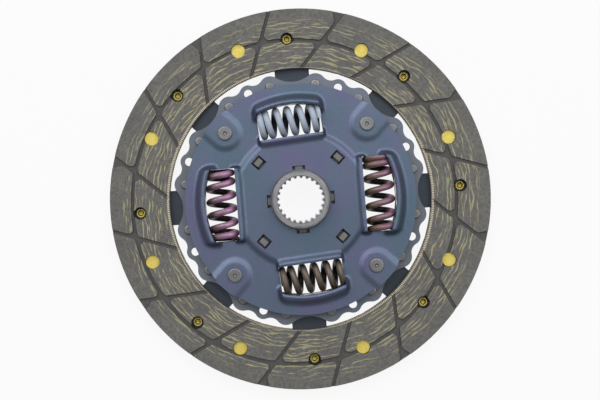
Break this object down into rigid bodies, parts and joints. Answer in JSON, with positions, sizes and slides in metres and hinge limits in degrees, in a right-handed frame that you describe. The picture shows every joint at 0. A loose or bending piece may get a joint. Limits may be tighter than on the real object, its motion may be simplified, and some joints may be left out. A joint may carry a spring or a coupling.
{
  "type": "clutch disc",
  "caption": "Clutch disc: grooved friction rings on cushion segments, a riveted pair of plates with damper springs, and a splined hub.",
  "frame": {"origin": "on the hub axis, in the middle of the thickness of the facing pack, inside the splined bore", "axes": "+Z along the hub axis towards the side with the damper's cover plate, +X through the neck of cushion segment 1 and the middle of the right-hand long spring, +Y towards the top spring"},
  "size_m": [0.19, 0.19, 0.0204],
  "materials": {
    "friction_facing": "ground woven friction lining, grey brown with olive yellow yarn",
    "plate_steel": "blue grey phosphated sheet steel",
    "cover_steel": "blue grey heat-tinted sheet steel",
    "segment_steel": "dark tempered spring steel",
    "hub_steel": "turned steel",
    "rivet_brass": "bright brass",
    "rivet_steel": "bare steel",
    "spring_bronze": "bronze heat tint with pink",
    "spring_blue": "light steel blue",
    "spring_pink": "pink lilac heat tint",
    "spring_brown": "dark bronze brown",
    "washer_moulding": "grey friction moulding",
    "cone_spring_steel": "tempered spring steel",
    "bush_moulding": "dark grey moulding"
  },
  "bodies": {
    "driven_plates": {"disc_plate": "plate_steel", "cover_plate": "cover_steel", "cushion_segment_1": "segment_steel", "cushion_segment_2": "segment_steel", "cushion_segment_3": "segment_steel", "cushion_segment_4": "segment_steel", "cushion_segment_5": "segment_steel", "cushion_segment_6": "segment_steel", "cushion_segment_7": "segment_steel", "cushion_segment_8": "segment_steel", "segment_rivets": "rivet_steel", "stop_pins": "rivet_steel", "spring_right": "spring_bronze", "spring_top": "spring_blue", "spring_left": "spring_pink", "spring_bottom": "spring_brown", "friction_washer_front": "washer_moulding", "friction_washer_rear": "washer_moulding", "cone_spring": "cone_spring_steel", "centring_bush": "bush_moulding"},
    "splined_hub": {"hub": "hub_steel"},
    "front_lining": {"front_facing": "friction_facing", "front_facing_rivets": "rivet_brass"},
    "rear_lining": {"rear_facing": "friction_facing", "rear_facing_rivets": "rivet_brass"}
  },
  "joints": [
    {"name": "damper_turn", "type": "hinge", "parent": "driven_plates", "child": "splined_hub", "pos_m": [0, 0, 0], "axis": [0, 0, 1], "range_deg": [-6, 6], "stiffness_Nm_per_rad": 800, "deforming": ["spring_right", "spring_top", "spring_left", "spring_bottom"]},
    {"name": "front_cushion", "type": "slide", "parent": "driven_plates", "child": "front_lining", "axis": [0, 0, 1], "range_m": [-0.00035, 0], "stiffness_N_per_m": 30000, "deforming": ["cushion_segment_1", "cushion_segment_2", "cushion_segment_3", "cushion_segment_4", "cushion_segment_5", "cushion_segment_6", "cushion_segment_7", "cushion_segment_8"]},
    {"name": "rear_cushion", "type": "slide", "parent": "driven_plates", "child": "rear_lining", "axis": [0, 0, 1], "range_m": [0, 0.00035], "stiffness_N_per_m": 30000, "deforming": ["cushion_segment_1", "cushion_segment_2", "cushion_segment_3", "cushion_segment_4", "cushion_segment_5", "cushion_segment_6", "cushion_segment_7", "cushion_segment_8"]}
  ]
}
